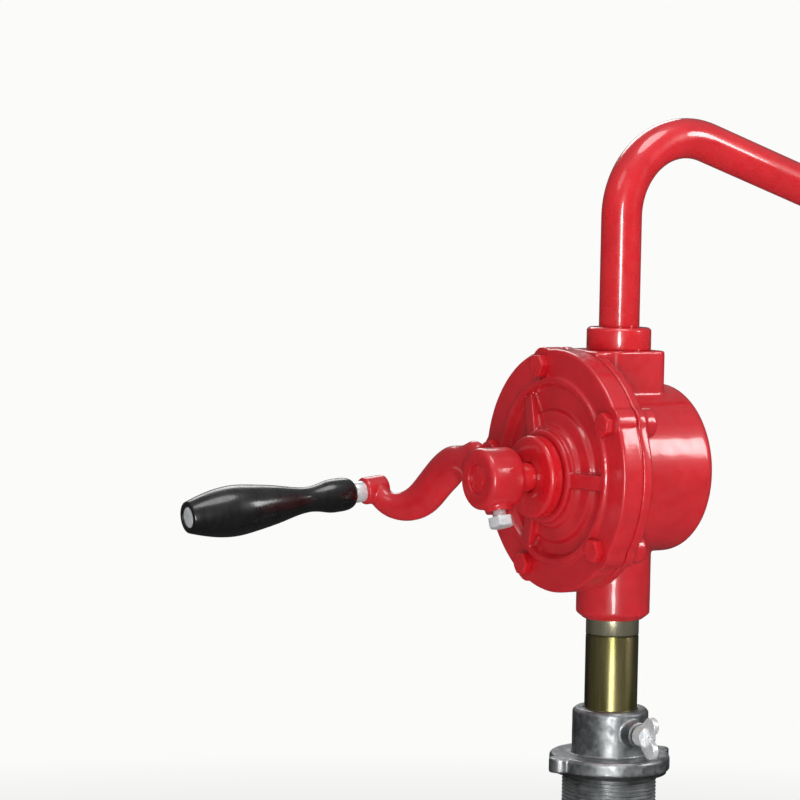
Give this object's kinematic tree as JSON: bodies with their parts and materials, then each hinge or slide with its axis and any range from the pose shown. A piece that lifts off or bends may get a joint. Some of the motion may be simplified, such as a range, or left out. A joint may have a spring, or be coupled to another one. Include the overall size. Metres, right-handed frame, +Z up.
{
  "type": "hand-cranked drum pump",
  "caption": "Hand-cranked rotary vane pump for a drum, with a swan-neck spout, an S-shaped crank, a telescopic suction tube and a sliding threaded bung adapter.",
  "frame": {"origin": "on the suction axis, where the bung adapter's thread meets the underside of its flange", "axes": "+Z up along the suction tube, the shaft runs along Y, the crank and cover face -Y"},
  "size_m": [0.1975, 0.4603, 0.8223],
  "materials": {
    "red_enamel": "gloss",
    "black_lacquer": "gloss",
    "zinc_screw": "bright zinc",
    "yellow_zinc": "yellow passivated zinc",
    "zinc_casting": "zinc plated casting",
    "ground_steel": "ground",
    "spring_steel": "drawn",
    "cast_iron": "machined",
    "bronze": "turned",
    "vane_plastic": "matte",
    "nitrile": "matte",
    "gasket_paper": "matte fibre",
    "packing": "graphited braid"
  },
  "bodies": {
    "adapter": {"bung_adapter": "zinc_casting", "adapter_tube_seal": "nitrile", "adapter_gasket": "nitrile"},
    "wing_screw": {"wing_screw": "zinc_screw"},
    "pump": {"pump_body": "red_enamel", "front_cover": "red_enamel", "cover_gasket": "gasket_paper", "cover_bolts": "red_enamel", "front_bush": "bronze", "rear_bush": "bronze", "packing_rings": "packing", "packing_nut": "red_enamel", "outlet_collar": "red_enamel", "suction_tube": "yellow_zinc", "valve_seat": "bronze", "tube_lock_nut": "yellow_zinc", "slide_seal": "nitrile"},
    "rotor": {"drive_shaft": "ground_steel", "rotor": "cast_iron", "rotor_key": "ground_steel", "vane_1": "vane_plastic", "vane_2": "vane_plastic", "vane_3": "vane_plastic", "vane_4": "vane_plastic", "vane_springs": "spring_steel", "crank_arm": "red_enamel", "crank_set_bolt": "zinc_screw", "grip_spindle": "zinc_screw", "spindle_collar": "zinc_screw"},
    "grip": {"grip": "black_lacquer"},
    "spout": {"spout_tube": "red_enamel", "spout_ring": "ground_steel", "spout_seal": "nitrile"},
    "extension": {"extension_tube": "yellow_zinc", "stop_ring": "bronze", "foot_strainer": "vane_plastic", "foot_screen": "ground_steel"},
    "valve": {"valve_disc": "bronze", "valve_washer": "nitrile", "valve_clip": "spring_steel"}
  },
  "joints": [
    {"name": "pump_height", "type": "slide", "parent": "adapter", "child": "pump", "axis": [0, 0, 1], "range_m": [-0.05, 0.3]},
    {"name": "wing_screw_turn", "type": "hinge", "parent": "adapter", "child": "wing_screw", "pos_m": [0.04, 0, 0.025], "axis": [1, 0, 0], "range_deg": [0, 360]},
    {"name": "crank_turn", "type": "hinge", "parent": "pump", "child": "rotor", "pos_m": [0, -0.09, 0.186], "axis": [0, 1, 0], "continuous": true},
    {"name": "grip_spin", "type": "hinge", "parent": "rotor", "child": "grip", "pos_m": [-0.106, -0.1135, 0.17], "axis": [0, -0.9957, -0.0924], "continuous": true},
    {"name": "spout_swivel", "type": "hinge", "parent": "pump", "child": "spout", "pos_m": [0, 0, 0.25], "axis": [0, 0, 1], "continuous": true},
    {"name": "tube_extend", "type": "slide", "parent": "pump", "child": "extension", "axis": [0, 0, -1], "range_m": [0, 0.375]},
    {"name": "valve_rise", "type": "slide", "parent": "pump", "child": "valve", "axis": [0, 0, 1], "range_m": [0, 0.004]}
  ]
}
